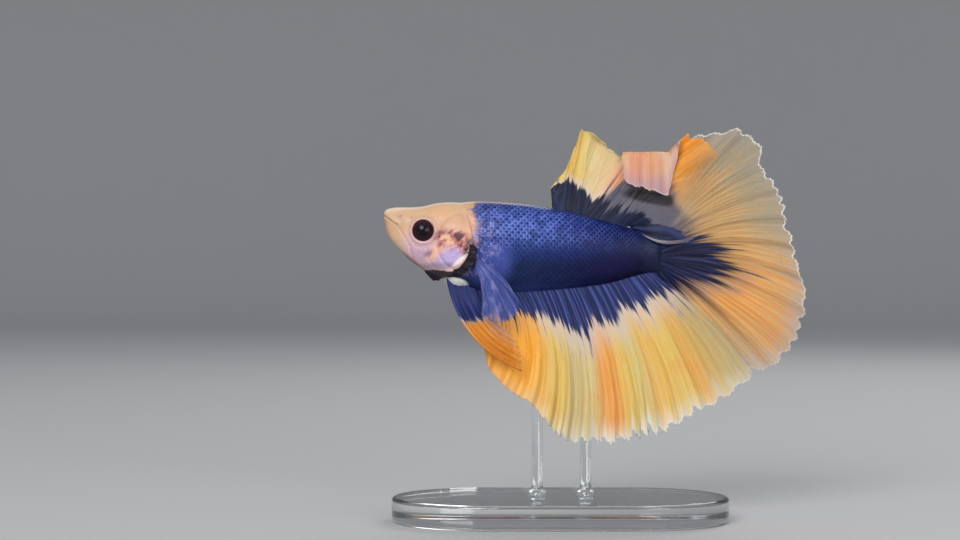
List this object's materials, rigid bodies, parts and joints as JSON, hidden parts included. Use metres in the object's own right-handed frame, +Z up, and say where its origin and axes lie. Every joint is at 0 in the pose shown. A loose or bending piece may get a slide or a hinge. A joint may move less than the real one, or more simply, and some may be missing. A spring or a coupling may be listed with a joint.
{
  "type": "halfmoon betta fish",
  "caption": "Life-size still model of a male halfmoon betta fish: blue body, peach head, spread yellow and orange fins, on a clear display stand.",
  "frame": {"origin": "on the floor, under the middle of the whole model's box", "axes": "the fish faces -X, its left side towards -Y, and +Z is up"},
  "size_m": [0.0684, 0.03, 0.0632],
  "materials": {
    "face_skin": "moist skin, peach and cream with lavender and maroon markings",
    "body_scales": "satin royal blue scales, brighter on the back, navy on the lower flank",
    "gill_fringe": "soft black membrane",
    "eye": "wet, glossy near-black",
    "dorsal_fin": "thin membrane, navy at the root, then cream, yellow and orange",
    "caudal_fin": "thin membrane, orange below, translucent olive and yellow above, pale rim",
    "anal_fin": "thin membrane, blue at the root, then cream, yellow and orange, pale tips",
    "pelvic_fin": "thin membrane, blue above and orange below",
    "pectoral_fin": "thin translucent blue and lavender membrane",
    "clear_acrylic": "polished clear acrylic"
  },
  "bodies": {
    "root": {"anal_fin": "anal_fin", "caudal_fin": "caudal_fin", "dorsal_fin": "dorsal_fin", "eye_left": "eye", "eye_right": "eye", "gill_cover_left": "face_skin", "gill_cover_right": "face_skin", "gill_membrane_left": "gill_fringe", "gill_membrane_right": "gill_fringe", "head": "face_skin", "lower_jaw": "face_skin", "pectoral_fin_left": "pectoral_fin", "pectoral_fin_right": "pectoral_fin", "pelvic_fin_left": "pelvic_fin", "pelvic_fin_right": "pelvic_fin", "stand_base": "clear_acrylic", "stand_rod_front": "clear_acrylic", "stand_rod_rear": "clear_acrylic", "tail_stem": "body_scales", "trunk": "body_scales"}
  },
  "joints": []
}
